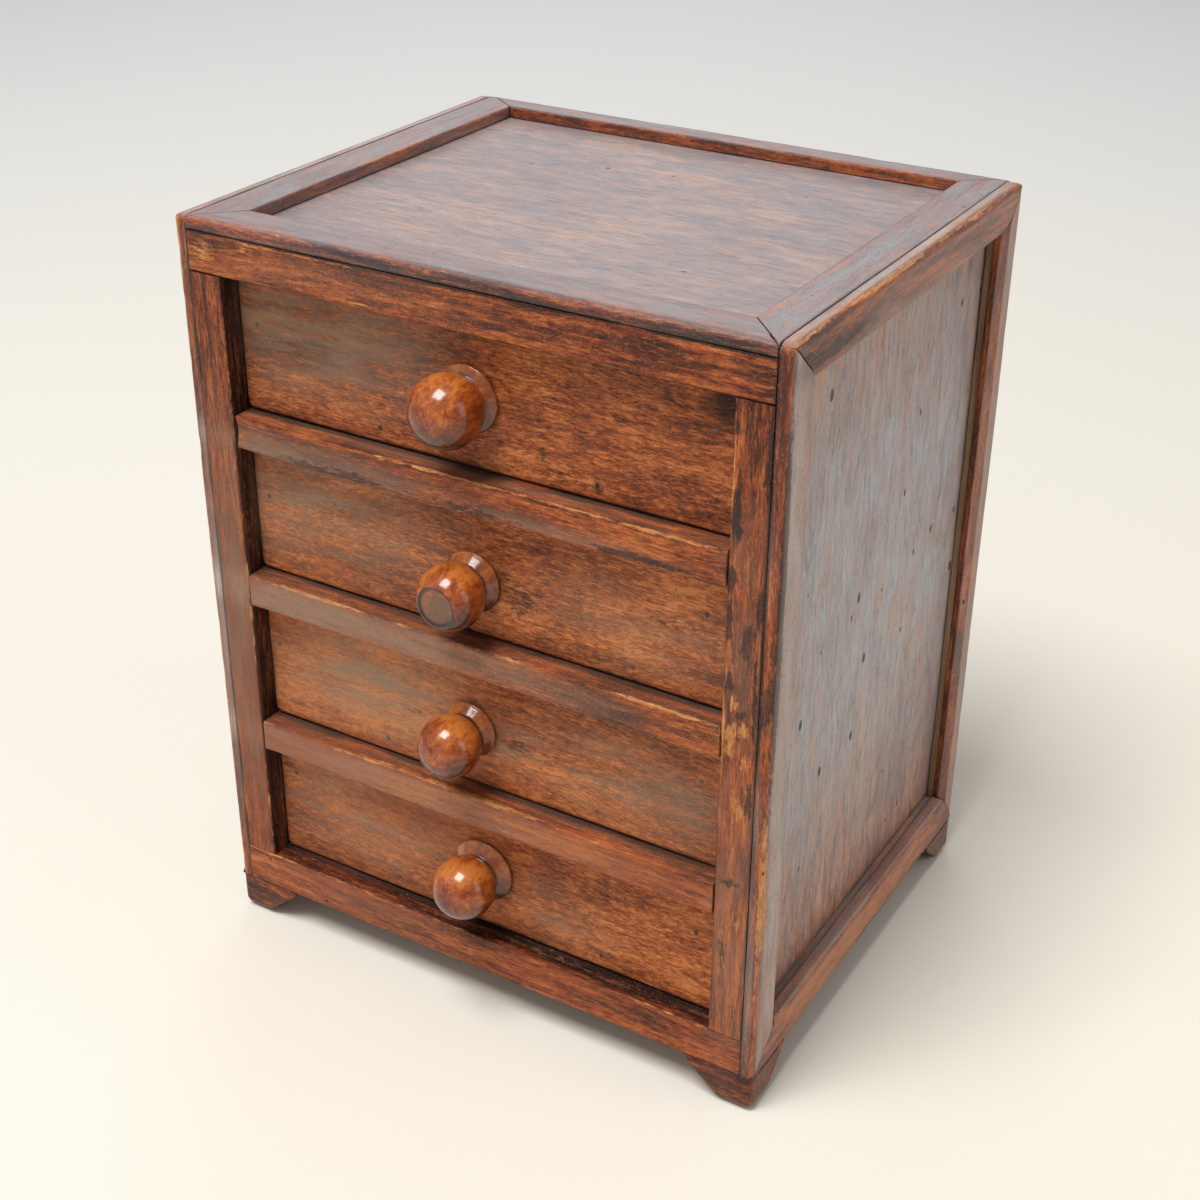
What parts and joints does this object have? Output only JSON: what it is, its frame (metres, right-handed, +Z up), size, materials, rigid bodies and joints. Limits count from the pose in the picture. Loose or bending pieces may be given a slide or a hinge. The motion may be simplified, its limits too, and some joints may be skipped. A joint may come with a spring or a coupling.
{
  "type": "desktop mini drawers",
  "caption": "Small wooden table chest with a frame-and-panel case, sunk top panel, corner feet and sliding pegged drawers with turned knobs.",
  "frame": {"origin": "under the middle of the bounding box of the whole closed chest, knobs included, on the plane that the feet stand on", "axes": "+Z up, drawers pull out towards -Y, +X to the right of someone facing the drawers"},
  "size_m": [0.22, 0.1934, 0.2775],
  "materials": {
    "frame_wood": "worn satin lacquer",
    "drawer_front_wood": "worn satin lacquer",
    "panel_wood": "worn satin lacquer",
    "knob_wood": "polished lacquer",
    "bare_wood": "bare aged wood",
    "peg_wood": "dark matte"
  },
  "bodies": {
    "case": {"front_stile_left": "frame_wood", "front_stile_right": "frame_wood", "front_head_rail": "frame_wood", "front_sill_rail": "frame_wood", "divider_rail_1": "frame_wood", "divider_rail_2": "frame_wood", "divider_rail_3": "frame_wood", "left_frame_front_stile": "frame_wood", "left_frame_back_stile": "frame_wood", "left_frame_top_rail": "frame_wood", "left_frame_bottom_rail": "frame_wood", "right_frame_front_stile": "frame_wood", "right_frame_back_stile": "frame_wood", "right_frame_top_rail": "frame_wood", "right_frame_bottom_rail": "frame_wood", "left_side_panel": "panel_wood", "right_side_panel": "panel_wood", "top_frame_front": "frame_wood", "top_frame_back": "frame_wood", "top_frame_left": "frame_wood", "top_frame_right": "frame_wood", "top_panel": "panel_wood", "back_post_left": "bare_wood", "back_post_right": "bare_wood", "back_board": "bare_wood", "bottom_board": "bare_wood", "drawer_runners": "bare_wood", "foot_front_left": "frame_wood", "foot_front_right": "frame_wood", "foot_back_left": "frame_wood", "foot_back_right": "frame_wood"},
    "drawer_1": {"drawer_1_front": "drawer_front_wood", "drawer_1_left_side": "bare_wood", "drawer_1_right_side": "bare_wood", "drawer_1_back": "bare_wood", "drawer_1_bottom": "bare_wood", "drawer_1_knob": "knob_wood", "drawer_1_pegs": "peg_wood"},
    "drawer_2": {"drawer_2_front": "drawer_front_wood", "drawer_2_left_side": "bare_wood", "drawer_2_right_side": "bare_wood", "drawer_2_back": "bare_wood", "drawer_2_bottom": "bare_wood", "drawer_2_knob": "knob_wood", "drawer_2_pegs": "peg_wood"},
    "drawer_3": {"drawer_3_front": "drawer_front_wood", "drawer_3_left_side": "bare_wood", "drawer_3_right_side": "bare_wood", "drawer_3_back": "bare_wood", "drawer_3_bottom": "bare_wood", "drawer_3_knob": "knob_wood", "drawer_3_pegs": "peg_wood"},
    "drawer_4": {"drawer_4_front": "drawer_front_wood", "drawer_4_left_side": "bare_wood", "drawer_4_right_side": "bare_wood", "drawer_4_back": "bare_wood", "drawer_4_bottom": "bare_wood", "drawer_4_knob": "knob_wood", "drawer_4_pegs": "peg_wood"}
  },
  "joints": [
    {"name": "drawer_1_slide", "type": "slide", "parent": "case", "child": "drawer_1", "axis": [0, -1, 0], "range_m": [0, 0.115]},
    {"name": "drawer_2_slide", "type": "slide", "parent": "case", "child": "drawer_2", "axis": [0, -1, 0], "range_m": [0, 0.115]},
    {"name": "drawer_3_slide", "type": "slide", "parent": "case", "child": "drawer_3", "axis": [0, -1, 0], "range_m": [0, 0.115]},
    {"name": "drawer_4_slide", "type": "slide", "parent": "case", "child": "drawer_4", "axis": [0, -1, 0], "range_m": [0, 0.115]}
  ]
}
